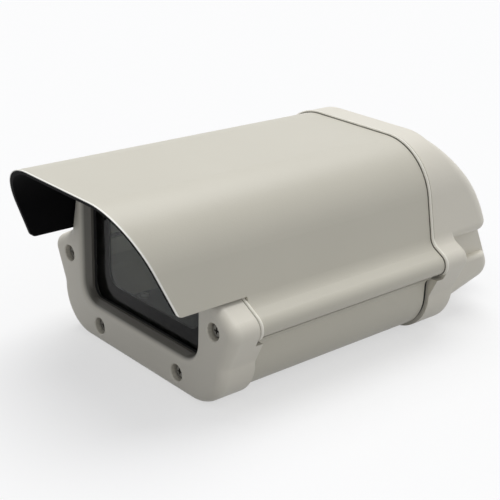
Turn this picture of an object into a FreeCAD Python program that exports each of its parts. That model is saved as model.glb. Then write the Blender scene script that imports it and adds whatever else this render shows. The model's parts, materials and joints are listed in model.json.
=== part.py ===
import FreeCAD, Part
import math
import os
from FreeCAD import Vector

# Side-opening camera housing, in millimetres. X runs across, Y from the window to the cable end,
# Z up. The origin is the middle of the four bracket holes, in the underside of the tray.

# Lengths along the housing
extrusion_length = 132.0
wall_setback = 4.8
end_gasket = 2.0
cap_depth = 16.25
end_gap = 0.3

# Section of the cover and the tray
roof_z = 105.0
shoulder_radius = 34.0
side_lean = 11.5
skirt_rise = 13.4
skirt_inset = 2.8
neck_radius = 8.0
shelf_angle = 61.3
under_angle = -50.0
under_radius = 5.0
tray_half = 67.5
tray_corner = 22.0
cover_wall = 2.4
tray_wall = 2.5
tray_floor = 3.0

# Hinge rolled into the right-hand edge of both extrusions
hinge_overhang = 3.1
hinge_z = 42.4
knuckle_radius = 6.0
bead_clearance = 0.1
trough_clearance = 0.35
knuckle_start = -62.0
knuckle_end = 150.0
open_angle = 90.0
web_end = 158.0

# Visor ahead of the front cap
visor_reach = 22.3
visor_rake = 24.2
visor_corner = 4.0

# End caps
cap_proud = 1.0
cap_step = 2.0
waist_land = 1.3
waist_radius = 5.0
cap_edge = 5.0
visor_gap = 1.0
visor_root = 1.0
ear_screw_drop = 0.9
port_skin = 0.2
floor_screw_x = 33.8
floor_screw_z = 8.3
screw_well_radius = 4.5
screw_well_depth = 5.0
screw_well_edge = 0.5
band_edge = 2.0
hood_flange = 2.5

# Window
mouth_margin = 11.5
mouth_rise = 9.2
mouth_drop = 18.5
mouth_corner = 16.0
pane_corner = 6.5
mouth_taper = 3.0
mouth_depth = 5.0
mouth_edge = 4.0
lip_thickness = 1.5
glass_seat = 3.0
glass_thickness = 4.0
window_gasket_thickness = 1.5
retainer_thickness = 1.2
retainer_land = 6.0
retainer_overlap = 8.5
retainer_corner = 8.0
retainer_clearance = 0.3
retainer_screw_low = 17.0
retainer_screw_high = 14.0

# Opening of the end gaskets
gasket_low = 16.0
gasket_roof = 12.0
gasket_corner = 22.0
gasket_recess = 0.5

# Rear cap
notch_height = 16.8
notch_clearance = 0.5
lobe_tip = 9.5
lobe_edge = 8.0
lobe_lip = 2.5
lobe_drop = 9.5
lobe_rise = 14.0
back_reach = 34.2
back_lean = 26.6
back_setback = 2.6
hood_lower_lean = 14.0
hood_upper_lean = 41.5
hood_drop = 33.2
hood_round = 60.0
hood_edge = 10.0
hood_lip = 5.0
casting_wall = 3.5
flute_radius = 5.0

# Cable glands
gland_spacing = 25.0
gland_drop = 11.5
gland_boss_radius = 12.0
gland_face = 11.6
gland_inset = 6.0
gland_thread_radius = 8.0
gland_clearance = 0.15
gland_hex = 20.0
gland_collar = 5.0
gland_nut_length = 15.0
gland_neck_length = 8.0
gland_bore = 6.3
cable_radius = 3.5
lock_nut_height = 4.5

# Screws
m4_radius = 2.0
m4_head_radius = 3.8
m4_head_height = 2.6
m3_radius = 1.5
m3_head_radius = 2.75
m3_head_height = 1.8
thread_play = 0.05
cap_screw_engagement = 12.0
recess_width = 1.1
recess_depth = 1.4

# Closing screws on the left-hand edge of the cover
closing_port = 3.6
closing_offset = 3.6
closing_inset = 21.0
closing_head_radius = 3.5
closing_head_height = 4.0
closing_seat = 3.0
closing_reach = 5.0
closing_play = 0.35
closing_hex = 3.0
ring_radius = 3.0
ring_thickness = 0.6
ring_groove = 0.4
lip_drop = 5.1
ledge_gap = 0.3
ledge_edge = 3.7
ledge_thickness = 5.0

# Seal strips along both rims
port_half = 4.0
seal_width = 3.4
seal_height = 3.0
seal_groove = 1.4
seal_gap = 0.2
rib_width = 2.4

# Inside the tray
pad_margin = 9.0
pad_thickness = 8.0
rail_edge = 3.5
plate_edge = 6.0
plate_end_gap = 5.2
plate_thickness = 1.5
plate_screw_offset = 7.2
plate_screw_inset = 8.0
camera_thread_radius = 3.175
camera_neck_radius = 2.4
camera_slot_play = 0.25
camera_travel = 22.0
camera_screw_reach = 7.2
camera_knob_radius = 8.0
camera_knob_height = 3.0
camera_knob_gap = 1.1
camera_clip_radius = 6.0
camera_clip_thickness = 0.8
slide_gap = 0.2
earth_y = 40.0

# Bracket holes in the underside
bracket_spacing_x = 30.0
bracket_spacing_y = 70.0
bracket_hole_radius = 2.5
bracket_hole_depth = 6.0

# Places worked out from the sizes above
hinge_x = tray_half + hinge_overhang
skirt_half = tray_half - skirt_inset
skirt_z = hinge_z + skirt_rise
cover_end = extrusion_length / 2 - end_gap
tray_end = extrusion_length / 2
wall_end = tray_end - wall_setback
root_end = wall_end + end_gasket
cap_inner = tray_end + end_gasket
cap_outer = cap_inner + cap_depth
front_face = -cap_outer
back_face = cap_outer + back_reach
far = 2 * back_face
cap_base = -cap_step
bead_radius = knuckle_radius - cover_wall - bead_clearance
trough_radius = knuckle_radius + trough_clearance
step_z = hinge_z - trough_radius
root_top = step_z - end_gasket
web_start = knuckle_start - open_angle - 3.0
waist_z = tray_corner + waist_land
ear_screw_x = hinge_x - trough_radius - m4_radius - thread_play - port_skin
ear_screw_z = hinge_z - ear_screw_drop
lip_inner = ear_screw_x + closing_port + ledge_gap
lip_low = hinge_z - lip_drop
closing_x = lip_inner + closing_offset
closing_y = tray_end - closing_inset
ledge_half = closing_x + ledge_edge
mouth_half = ear_screw_x - mouth_margin
mouth_low = floor_screw_z + mouth_rise
mouth_high = roof_z - mouth_drop
lip_plane = front_face + mouth_depth + lip_thickness
glass_front = lip_plane + window_gasket_thickness
glass_back = glass_front + glass_thickness
retainer_back = glass_back + retainer_thickness
port_top = ear_screw_z + port_half
seal_bottom = port_top - seal_groove
rib_low = seal_bottom + seal_height + seal_gap
ledge_top = lip_low - ledge_gap
seat_z = ear_screw_z + closing_seat
notch_low = ear_screw_z - notch_height / 2
notch_depth = screw_well_radius + notch_clearance
hood_low = ear_screw_z + notch_height / 2
hood_break_z = roof_z - hood_drop
lobe_half = ear_screw_x
gland_z = ear_screw_z - gland_drop
gland_seat = back_face + gland_face
lock_seat = back_face - gland_inset
pad_half = bracket_spacing_x / 2 + pad_margin
rail_inner = floor_screw_x - port_half
plate_screw_x = floor_screw_x + plate_screw_offset
plate_end = wall_end - plate_end_gap
plate_screw_y = plate_end - plate_screw_inset
rail_outer = plate_screw_x + rail_edge
plate_half = plate_screw_x + plate_edge
rail_top = pad_thickness + camera_knob_gap + camera_knob_height + slide_gap
plate_top = rail_top + plate_thickness
clip_low = plate_top + slide_gap
thread_start = clip_low + camera_clip_thickness + slide_gap
lobe_floor = cap_base + lobe_drop


def unit(angle):
    """Unit vector in the section, angle in degrees from the first axis."""
    turn = math.radians(angle)
    return Vector(math.cos(turn), math.sin(turn), 0)


def through(angle, across, up):
    """The line with that outward normal that passes through a point."""
    return angle, unit(angle).dot(Vector(across, up, 0))


def meet(first, second):
    """The point where two lines of a section cross."""
    a, b = unit(first[0]), unit(second[0])
    scale = a.x * b.y - a.y * b.x
    across = (first[1] * b.y - a.y * second[1]) / scale
    up = (a.x * second[1] - first[1] * b.x) / scale
    return Vector(across, up, 0)


def both_sides(half, radii):
    """Mirror the lines of the right half, given from the top down to the bottom."""
    left = [(180 - angle, reach) for angle, reach in reversed(half[1:-1])]
    return half + left, radii + radii[::-1]


def outline(section, grow=0.0):
    """Closed face of a section whose corners are rounded, every line moved out by grow."""
    lines, radii = section
    lines = [(angle, reach + grow) for angle, reach in lines]
    ends = []
    edges = []
    for index, radius in enumerate(radii):
        first = lines[index]
        second = lines[(index + 1) % len(lines)]
        turn = (first[0] - second[0] + 180) % 360 - 180
        side = math.copysign(1, turn)
        bend = side * max(radius + side * grow, 0) if radius else 0
        center = meet((first[0], first[1] - bend), (second[0], second[1] - bend))
        start = center + unit(first[0]) * bend
        end = center + unit(second[0]) * bend
        ends.append((start, end))
        if bend:
            middle = center + unit(first[0] - turn / 2) * bend
            edges.append(Part.Arc(start, middle, end).toShape())
    for index, (start, end) in enumerate(ends):
        before = ends[index - 1][1]
        if before.distanceToPoint(start) > 0.001:
            edges.append(Part.LineSegment(before, start).toShape())
    return Part.Face(Part.Wire(Part.__sortEdges__(edges)))


def across(face, low_y, high_y):
    """Extrude a section that is drawn in X and Z along Y."""
    solid = face.copy()
    solid.rotate(Vector(0, 0, 0), Vector(1, 0, 0), 90)
    solid.translate(Vector(0, low_y, 0))
    return solid.extrude(Vector(0, high_y - low_y, 0))


def along(face, half_width):
    """Extrude a side view that is drawn in Y and Z across X."""
    solid = face.copy()
    solid.rotate(Vector(0, 0, 0), Vector(1, 1, 1), 120)
    solid.translate(Vector(-half_width, 0, 0))
    return solid.extrude(Vector(2 * half_width, 0, 0))


def polygon(points):
    """Face with straight sides in the section."""
    corners = [Vector(x, z, 0) for x, z in points]
    return Part.Face(Part.makePolygon(corners + corners[:1]))


def block(low, high):
    """Box between two corners."""
    size = Vector(*high) - Vector(*low)
    return Part.makeBox(size.x, size.y, size.z, Vector(*low))


def rod(radius, start, end):
    """Cylinder between two points."""
    path = Vector(*end) - Vector(*start)
    return Part.makeCylinder(radius, path.Length, Vector(*start), path)


def cone(low_radius, high_radius, start, end):
    """Cone between two points."""
    path = Vector(*end) - Vector(*start)
    return Part.makeCone(low_radius, high_radius, path.Length, Vector(*start), path)


def hexagon(flats, start, end):
    """Six-sided bar between two points, measured across its flats."""
    path = Vector(*end) - Vector(*start)
    reach = flats / math.sqrt(3)
    corners = [unit(60 * step) * reach for step in range(7)]
    bar = Part.Face(Part.makePolygon(corners)).extrude(Vector(0, 0, path.Length))
    bar.Placement = FreeCAD.Placement(Vector(*start), FreeCAD.Rotation(Vector(0, 0, 1), path))
    return bar


def soften(shape, radius, chosen):
    """Round the edges whose middle point the chosen test accepts."""
    edges = [edge for edge in shape.Edges if chosen(edge.BoundBox)]
    return shape.makeFillet(radius, edges)


def extrusion_section():
    """Outer section of cover and tray together."""
    half = [
        (90, roof_z),
        through(side_lean, skirt_half, skirt_z),
        through(shelf_angle, hinge_x, hinge_z),
        through(under_angle, hinge_x, hinge_z),
        (0, tray_half),
        (-90, 0),
    ]
    half[2] = (half[2][0], half[2][1] + knuckle_radius)
    half[3] = (half[3][0], half[3][1] + knuckle_radius)
    return both_sides(half, [shoulder_radius, neck_radius, knuckle_radius, under_radius, tray_corner])


def ear_lean():
    """Angle of the line that runs from the waist and touches the round ear."""
    waist = Vector(tray_half + cap_step - hinge_x, waist_z - hinge_z, 0)
    swing = math.acos((knuckle_radius + cap_proud) / waist.Length)
    return math.degrees(math.atan2(waist.y, waist.x) + swing)


def cap_section():
    """Outer section of the rear cap's band, which is proud of the extrusions."""
    half = extrusion_section()[0][:3]
    half = [(angle, reach + cap_proud) for angle, reach in half]
    ear = through(ear_lean(), hinge_x, hinge_z)
    half.append((ear[0], ear[1] + knuckle_radius + cap_proud))
    half += [(0, tray_half + cap_step), (-90, cap_step)]
    radii = [shoulder_radius + cap_proud, neck_radius - cap_proud, knuckle_radius + cap_proud,
             waist_radius, tray_corner + cap_step]
    return both_sides(half, radii)


def below_visor(section, grow):
    """The same section with its dome inside the visor, ready to be grown by grow."""
    lines, radii = section
    inset = cover_wall + visor_gap + grow
    dome = [(angle, reach - inset) for angle, reach in extrusion_section()[0][:2]]
    return both_sides(dome + lines[2:6], [shoulder_radius - inset, visor_root] + radii[2:5])


def dome_section(grow, floor_z):
    """The dome alone, closed by a flat floor."""
    half = [(angle, reach + grow) for angle, reach in extrusion_section()[0][:2]]
    half.append((-90, -floor_z))
    return both_sides(half, [shoulder_radius + grow, 0])


def window_section(half_width, low, high, corner):
    """Window opening with equal round corners."""
    return both_sides([(90, high), (0, half_width), (-90, -low)], [corner, corner])


def knuckle_sector(inner, outer, first, last):
    """Part of a ring about the hinge axis, between two angles."""
    center = Vector(hinge_x, hinge_z, 0)
    middle = (first + last) / 2
    outer_arc = Part.Arc(*[center + unit(angle) * outer for angle in (first, middle, last)])
    inner_arc = Part.Arc(*[center + unit(angle) * inner for angle in (last, middle, first)])
    sides = [Part.LineSegment(outer_arc.EndPoint, inner_arc.StartPoint),
             Part.LineSegment(inner_arc.EndPoint, outer_arc.StartPoint)]
    edges = [outer_arc.toShape(), sides[0].toShape(), inner_arc.toShape(), sides[1].toShape()]
    return Part.Face(Part.Wire(edges))


def hinge_rod(radius, half_length):
    """Cylinder on the hinge axis."""
    return rod(radius, (hinge_x, -half_length, hinge_z), (hinge_x, half_length, hinge_z))


def closing_places():
    """The two closing screws, front one first."""
    return [(-closing_x, -closing_y), (-closing_x, closing_y)]


def visor_side():
    """Side view of the cover: raked front edge with a round lower corner."""
    rake = through(180 + visor_rake, front_face - visor_reach, skirt_z)
    lines = [(90, 2 * roof_z), (0, cover_end), (-90, -skirt_z), rake]
    return lines, [0, 0, visor_corner, 0]


def top_cover():
    """Cover and visor in one: the dome runs on ahead of the front cap."""
    section = extrusion_section()
    shell = outline(section).cut(outline(section, -cover_wall))
    dome = across(shell, -far, cover_end).common(along(outline(visor_side()), 2 * tray_half))
    skirts = across(shell, -cover_end, cover_end)
    skirts = skirts.common(block((-far, -far, hinge_z), (far, far, skirt_z + cover_wall)))
    ring = knuckle_sector(bead_radius + bead_clearance, knuckle_radius, knuckle_start, knuckle_end)
    cover = dome.fuse([skirts, across(ring, -cover_end, cover_end), cover_lip()])
    ribs = [seal_rib(side) for side in (-1, 1)]
    cover = cover.fuse(ribs).cut(hinge_rod(bead_radius + bead_clearance, far))
    for x, y in closing_places():
        cover = cover.cut(rod(closing_head_radius + 0.8, (x, y, seat_z), (x, y, roof_z)))
        cover = cover.cut(rod(m4_radius + 0.3, (x, y, 0), (x, y, seat_z)))
        cover = cover.cut(rod(ring_radius + 0.2, (x, y, 0), (x, y, lip_low + 2 * ring_thickness)))
    return cover.removeSplitter()


def cover_lip():
    """Solid left-hand edge that takes the closing screws."""
    edge = across(outline(extrusion_section()), -cover_end, cover_end)
    return edge.common(block((-far, -cover_end, lip_low), (-lip_inner, cover_end, skirt_z)))


def seal_rib(side):
    """Rib inside the cover that presses on a seal strip."""
    middle = side * ear_screw_x
    return block((middle - rib_width / 2, -cover_end, rib_low), (middle + rib_width / 2, cover_end, skirt_z))


def lower_tray():
    """Tray extrusion with screw ports, hinge bead, closing ledge, floor pad and rails."""
    section = extrusion_section()
    outer = outline(section)
    walls = outer.cut(outline(inner_tray_section()))
    rim_low = ledge_top - ledge_thickness
    keep = polygon([(-far, -far), (far, -far), (far, rim_low), (-far, rim_low)])
    parts = [walls.common(keep), hinge_rim().common(outer), closing_rim(), floor_pad()]
    parts += [rail(side) for side in (-1, 1)]
    solids = [across(part, -tray_end, tray_end) for part in parts]
    tray = solids[0].fuse(solids[1:]).cut(hinge_rod(trough_radius, 2 * tray_end))
    web = knuckle_sector(bead_radius / 2, trough_radius + 0.3, web_end, 360 + web_start)
    tray = tray.fuse([across(web, -tray_end, tray_end), hinge_rod(bead_radius, tray_end)])
    for side in (-1, 1):
        tray = tray.cut(at_end(block((-far, wall_end, -far), (far, far, step_z)), side))
    return tray.cut(tray_holes()).removeSplitter()


def at_end(shape, side):
    """A shape drawn at the rear end, or its mirror image at the front end."""
    return shape if side > 0 else shape.mirror(Vector(0, 0, 0), Vector(0, 1, 0))


def cap_root(side):
    """Lower part of a cap, which reaches in below the rims to the shorter walls of the tray."""
    ring = outline(cap_section()).cut(gasket_opening())
    root = across(ring, root_end, cap_inner).common(block((-far, 0, -far), (far, far, root_top)))
    return at_end(root, side)


def screw_well(x, z, side):
    """Well for a cap screw's head, its edge broken."""
    well = rod(screw_well_radius, (x, cap_outer - screw_well_depth, z), (x, cap_outer, z))
    edge = cone(screw_well_radius, screw_well_radius + screw_well_edge,
                (x, cap_outer - screw_well_edge, z), (x, cap_outer, z))
    return at_end(well.fuse(edge), side)


def inner_tray_section():
    """Inside of the tray, open upwards."""
    half = [(90, 2 * roof_z), (0, tray_half - tray_wall), (-90, -tray_floor)]
    return both_sides(half, [0, tray_corner - tray_wall])


def hinge_rim():
    """Right-hand rim: screw port and the hollow that the knuckle turns in."""
    low = ledge_top - ledge_thickness
    inner = ear_screw_x - port_half
    step = hinge_x - bead_radius
    return polygon([(inner, port_top), (step, port_top), (step, ear_screw_z),
                    (hinge_x + knuckle_radius, ear_screw_z), (hinge_x + knuckle_radius, low - 2 * port_half),
                    (tray_half - tray_wall, low - port_half), (inner, low + port_half)])


def closing_rim():
    """Left-hand rim: screw port and the ledge that the closing screws enter."""
    low = ledge_top - ledge_thickness
    inner = -ear_screw_x + port_half
    outer = -lip_inner + ledge_gap
    slope = ledge_half - tray_half
    return polygon([(inner, port_top), (outer, port_top), (outer, ledge_top), (-ledge_half, ledge_top),
                    (-ledge_half, low), (-tray_half, low - slope), (-tray_half + tray_wall, low - slope),
                    (inner, low + port_half)])


def floor_pad():
    """Thick middle of the floor for the bracket holes."""
    return polygon([(-pad_half, 0), (pad_half, 0), (pad_half, pad_thickness), (-pad_half, pad_thickness)])


def rail(side):
    """Rail that holds a floor screw and carries the camera plate."""
    low = tray_floor / 2
    return polygon([(side * rail_inner, low), (side * rail_outer, low),
                    (side * rail_outer, rail_top), (side * rail_inner, rail_top)])


def cap_screw_places():
    """Ear and floor screws of either cap, in X and Z."""
    return [(side * x, z) for x, z in ((ear_screw_x, ear_screw_z), (floor_screw_x, floor_screw_z))
            for side in (-1, 1)]


def plate_screw_places():
    """Screws of the camera plate, in X and Y."""
    return [(x, y) for x in (-plate_screw_x, plate_screw_x) for y in (-plate_screw_y, plate_screw_y)]


def tray_holes():
    """Everything that is drilled or cut in the tray."""
    holes = []
    for x, z in cap_screw_places():
        holes.append(rod(m4_radius + thread_play, (x, -2 * tray_end, z), (x, 2 * tray_end, z)))
    for x, y in plate_screw_places():
        holes.append(rod(m3_radius + thread_play, (x, y, rail_top - 7.0), (x, y, rail_top)))
    for x, y in closing_places():
        bottom = ledge_top - closing_reach - 1.5
        holes.append(rod(m4_radius + closing_play, (x, y, bottom), (x, y, ledge_top)))
    for x in (-bracket_spacing_x / 2, bracket_spacing_x / 2):
        for y in (-bracket_spacing_y / 2, bracket_spacing_y / 2):
            holes.append(rod(bracket_hole_radius, (x, y, 0), (x, y, bracket_hole_depth)))
    holes.append(rod(m4_radius + thread_play, (0, earth_y, pad_thickness - 6.0), (0, earth_y, pad_thickness)))
    for side in (-1, 1):
        holes.append(seal_strip(side, 0.0))
    return holes


def seal_strip(side, clearance):
    """Seal strip in the groove on top of a rim."""
    middle = side * ear_screw_x
    half = seal_width / 2 - clearance
    top = seal_bottom + seal_height
    return block((middle - half, -tray_end, seal_bottom), (middle + half, tray_end, top))


def front_cap():
    """Front casting with ears, tapered window mouth and a seat for the glass."""
    body = across(outline(below_visor(cap_section(), 0.0)), front_face, -cap_inner)
    body = soften(body, cap_edge, lambda box: box.YMax < front_face + 0.01)
    body = body.cut([window_mouth(), glass_pocket(), retainer_pocket()]).fuse(cap_root(-1))
    for x, z in cap_screw_places():
        body = body.cut([screw_well(x, z, -1), rod(m4_radius + 0.25, (x, front_face, z), (x, 0, z))])
    for x, z in retainer_screw_places():
        body = body.cut(rod(m3_radius + thread_play, (x, glass_back - 5.0, z), (x, glass_back, z)))
    return soften(body.removeSplitter(), mouth_edge, on_mouth_edge)


def on_mouth_edge(box):
    """Whether an edge is part of the outer rim of the window mouth."""
    return box.YMax < front_face + 0.01 and box.ZMin > mouth_low - 0.01 and box.ZMax < mouth_high + 0.01 \
        and max(box.XMax, -box.XMin) < mouth_half + 0.01


def window_frame(inset, corner=None):
    """Window outline, moved inward from the mouth by inset; its corners follow the glass pane."""
    if corner is None:
        corner = pane_corner + mouth_taper - inset
    return outline(window_section(mouth_half - inset, mouth_low + inset, mouth_high - inset, corner))


def window_mouth():
    """Tapered opening and the straight land behind it."""
    wires = []
    steps = ((0.0, mouth_corner, front_face), (mouth_taper, pane_corner, front_face + mouth_depth))
    for inset, corner, y in steps:
        wire = window_frame(inset, corner).OuterWire
        wire.rotate(Vector(0, 0, 0), Vector(1, 0, 0), 90)
        wire.translate(Vector(0, y, 0))
        wires.append(wire)
    taper = Part.makeLoft(wires, True, True)
    return taper.fuse(across(window_frame(mouth_taper), front_face + mouth_depth, -cap_inner))


def glass_pocket():
    """Room for the gasket and the glass."""
    return across(window_frame(mouth_taper - glass_seat), lip_plane, -cap_inner)


def retainer_pocket():
    """Room for the retainer frame."""
    return across(window_frame(mouth_taper - glass_seat - retainer_land), glass_back, -cap_inner)


def window_gasket():
    """Rubber frame between the lip and the glass."""
    frame = window_frame(mouth_taper - glass_seat + retainer_clearance).cut(window_frame(mouth_taper))
    return across(frame, lip_plane, glass_front)


def window_glass():
    """Flat glass pane."""
    return across(window_frame(mouth_taper - glass_seat + retainer_clearance), glass_front, glass_back)


def glass_retainer():
    """Frame behind the glass with four screw holes."""
    outer = window_frame(mouth_taper - glass_seat - retainer_land + retainer_clearance)
    inner = window_frame(mouth_taper + retainer_overlap, retainer_corner)
    frame = across(outer.cut(inner), glass_back, retainer_back)
    for x, z in retainer_screw_places():
        frame = frame.cut(rod(m3_radius + 0.2, (x, glass_back, z), (x, retainer_back, z)))
    return frame


def retainer_screw_places():
    """Retainer screws beside the glass, in X and Z."""
    x = mouth_half - mouth_taper + glass_seat + retainer_land / 2
    middle = (mouth_low + mouth_high) / 2
    heights = (middle - retainer_screw_low, middle + retainer_screw_high)
    return [(side * x, z) for side in (-1, 1) for z in heights]


def hood_side():
    """Side view of the rear hood: flat roof, then a back that leans forward."""
    lower = through(hood_lower_lean, back_face, hood_low)
    low = unit(hood_lower_lean)
    break_y = (lower[1] - hood_break_z * low.y) / low.x
    upper = through(hood_upper_lean, break_y, hood_break_z)
    lines = [(90, roof_z + cap_proud), upper, lower, (-90, -hood_low), (180, -cap_inner)]
    return lines, [0, hood_round, 0, 0, 0]


def lobe_side():
    """Side view of the block below the hood; its underside rises to the rear."""
    back = through(back_lean, back_face - back_setback, hood_low)
    under = through(lobe_rise - 90, cap_outer, lobe_floor)
    lines = [(90, hood_low + 3 * casting_wall), back, under, (180, -cap_inner)]
    return lines, [0, lobe_tip, 0, 0]


def lobe_section():
    """Front view of the lobe below the screw notches."""
    return both_sides([(90, notch_low), (0, lobe_half), (-90, -lobe_floor)], [0, 0])


def hood_block(inset):
    """Hood behind the band, its back and its lower lip rounded."""
    hood = across(outline(dome_section(cap_proud, hood_low), -inset), cap_inner, far)
    hood = hood.common(along(outline(hood_side(), -inset), 2 * tray_half))
    hood = soften(hood, hood_edge - inset, lambda box: box.YMin > cap_inner + 0.01
                  and box.ZMin > roof_z - inset)
    if inset:
        return hood
    return soften(hood, hood_lip, lambda box: box.YMax > cap_outer and box.ZMax < hood_low + 0.01)


def lobe_block(inset):
    """Block behind the band below the screw notches, its sides and top rounded."""
    half = lobe_half - inset
    lobe = across(outline(lobe_section(), -inset), cap_inner, far)
    lobe = lobe.common(along(outline(lobe_side(), -inset), 2 * tray_half))
    lobe = soften(lobe, lobe_edge - inset, lambda box: abs(box.XMax + box.XMin) > 2 * half - 0.01
                  and box.YMax > cap_outer and box.ZMin < notch_low - inset - 1)
    if inset:
        return lobe
    return soften(lobe, lobe_lip, lambda box: box.YMax > cap_outer and box.ZMin > notch_low - 0.01)


def rear_block(inset):
    """Hood, neck and lobe behind the band; a positive inset gives the hollow."""
    neck_half = lobe_half - notch_depth - inset
    neck = block((-neck_half, cap_inner, notch_low - 4 - inset), (neck_half, far, hood_low + 2 + inset))
    neck = neck.common(along(outline(lobe_side(), -inset), 2 * tray_half))
    return hood_block(inset).fuse([lobe_block(inset), neck])


def rear_casting():
    """Whole rear casting: band like the front cap's rim, hood, lobe and bosses for the glands."""
    band = across(outline(cap_section()), cap_inner, cap_outer)
    band = soften(band, band_edge, lambda box: box.YMin > cap_outer - 0.01)
    cap = band.fuse(rear_block(0.0)).cut(rear_hollow()).fuse(cap_root(1))
    for x in gland_places():
        boss = rod(gland_boss_radius, (x, lock_seat, gland_z), (x, gland_seat, gland_z))
        cap = cap.fuse(boss)
    for x in gland_places():
        cap = cap.cut(rod(gland_thread_radius + gland_clearance, (x, cap_outer, gland_z), (x, far, gland_z)))
    for x, z in cap_screw_places():
        radius = screw_well_radius if z > hinge_z / 2 else flute_radius
        way = rod(radius, (x, cap_outer - screw_well_depth, z), (x, far, z))
        cap = cap.cut([way, screw_well(x, z, 1), rod(m4_radius + 0.25, (x, 0, z), (x, cap_outer, z))])
    return cap.removeSplitter()


def band_and_hood():
    """The rear casting as two pieces that meet face to face just ahead of the band's rounded edge."""
    casting = rear_casting()
    ahead = block((-far, 0, -far), (far, cap_outer - hood_flange, far))
    return casting.common(ahead), casting.cut(ahead)


def rear_hollow():
    """Inside of the rear cap, open towards the tray."""
    inner_half = lobe_half - notch_depth - casting_wall
    floor_low = floor_screw_z + flute_radius + casting_wall / 2
    limit = block((-far, 0, floor_low), (far, far, far)).fuse(block((-pad_half, 0, 0), (pad_half, far, far)))
    room = rear_block(casting_wall).common(limit)
    mouth = across(outline(dome_section(-casting_wall, floor_low)), cap_inner, cap_outer)
    mouth = mouth.common(block((-inner_half, 0, 0), (inner_half, far, far)))
    return room.fuse(mouth)


def gland_places():
    """Gland centres across the rear wall."""
    return [-gland_spacing, 0.0, gland_spacing]


def end_gasket_ring(side):
    """Gasket between a cap and the ends of cover and tray; it steps in with the walls of the tray."""
    section = extrusion_section()
    if side < 0:
        section = below_visor(section, cap_proud / 2)
    proud = outline(section, cap_proud / 2).cut(gasket_opening())
    sunk = outline(section, -gasket_recess).cut(gasket_opening())
    upper = across(proud, tray_end, cap_inner).common(block((-far, 0, step_z), (far, far, far)))
    lower = across(sunk, wall_end, cap_inner).common(block((-far, 0, -far), (far, far, step_z)))
    gasket = upper.fuse(lower.cut(block((-far, root_end, -far), (far, far, root_top))))
    for x, z in cap_screw_places():
        gasket = gasket.cut(rod(m4_radius + 0.25, (x, 0, z), (x, far, z)))
    return at_end(gasket.removeSplitter(), side)


def gasket_opening():
    """Opening of both end gaskets."""
    half = mouth_half - mouth_taper + glass_seat + retainer_land
    return outline(window_section(half, gasket_low, roof_z - gasket_roof, gasket_corner))


def cross_recess(x, y, z, side):
    """Cross-shaped cut in a screw head that faces along Y."""
    low, high = sorted((y, y + side * recess_depth))
    reach = m4_head_radius * 0.6
    half = recess_width / 2
    return [block((x - reach, low, z - half), (x + reach, high, z + half)),
            block((x - half, low, z - reach), (x + half, high, z + reach))]


def cap_screws(side):
    """Four pan-head screws of one cap; side is -1 in front and 1 at the rear."""
    seat = side * (cap_outer - screw_well_depth)
    top = seat + side * m4_head_height
    tip = side * (wall_end - cap_screw_engagement)
    screws = []
    for x, z in cap_screw_places():
        head = rod(m4_head_radius, (x, seat, z), (x, top, z))
        head = soften(head, 1.2, lambda box: min(abs(box.YMin - top), abs(box.YMax - top)) < 0.01
                      and box.YLength < 0.01)
        screw = head.fuse(rod(m4_radius, (x, tip, z), (x, seat, z)))
        screws.append(screw.cut(cross_recess(x, top, z, -side)).removeSplitter())
    return Part.makeCompound(screws)


def small_screw(radius, head_radius, head_height, length):
    """Pan-head screw that points down, seat at the origin."""
    head = rod(head_radius, (0, 0, 0), (0, 0, head_height))
    head = soften(head, head_height / 2, lambda box: box.ZMin > head_height - 0.01)
    half = recess_width / 2
    slot = block((-head_radius, -half, head_height * 0.55), (head_radius, half, head_height))
    return head.fuse(rod(radius, (0, 0, -length), (0, 0, 0))).cut(slot).removeSplitter()


def placed(shape, position, rotation=(0, 0, 0)):
    """Copy of a shape, turned by yaw, pitch and roll and moved."""
    copy = shape.copy()
    copy.Placement = FreeCAD.Placement(Vector(*position), FreeCAD.Rotation(*rotation))
    return copy


def retainer_screws():
    """Four screws that hold the glass retainer, put in from behind."""
    screw = small_screw(m3_radius, m3_head_radius, m3_head_height, 6.0)
    places = [(x, retainer_back, z) for x, z in retainer_screw_places()]
    return Part.makeCompound([placed(screw, place, (0, 0, -90)) for place in places])


def plate_screws():
    """Four screws that hold the camera plate on its rails."""
    screw = small_screw(m3_radius, m3_head_radius, m3_head_height, 7.5)
    return Part.makeCompound([placed(screw, (x, y, plate_top)) for x, y in plate_screw_places()])


def camera_plate():
    """Steel plate with a lengthwise slot for the camera screw."""
    plate = block((-plate_half, -plate_end, rail_top), (plate_half, plate_end, plate_top))
    plate = soften(plate, 6.0, lambda box: box.ZLength > plate_thickness - 0.01 and box.XLength < 0.01)
    width = camera_thread_radius + camera_slot_play
    slot = block((-width, -camera_travel, rail_top), (width, camera_travel, plate_top))
    ends = [rod(width, (0, y, rail_top), (0, y, plate_top)) for y in (-camera_travel, camera_travel)]
    holes = [rod(m3_radius + 0.2, (x, y, rail_top), (x, y, plate_top)) for x, y in plate_screw_places()]
    return plate.cut([slot] + ends + holes).removeSplitter()


def camera_screw():
    """Camera screw with a flat knurled head below the plate."""
    low = rail_top - slide_gap
    head = rod(camera_knob_radius, (0, 0, low - camera_knob_height), (0, 0, low))
    head = head.makeChamfer(0.5, head.Edges[:1] + head.Edges[2:3])
    neck = rod(camera_neck_radius, (0, 0, low), (0, 0, thread_start))
    thread = rod(camera_thread_radius, (0, 0, thread_start), (0, 0, plate_top + camera_screw_reach))
    slot = block((-camera_knob_radius, -0.8, low - camera_knob_height), (camera_knob_radius, 0.8, low - 1.8))
    return head.fuse([neck, thread]).cut(slot).removeSplitter()


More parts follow.
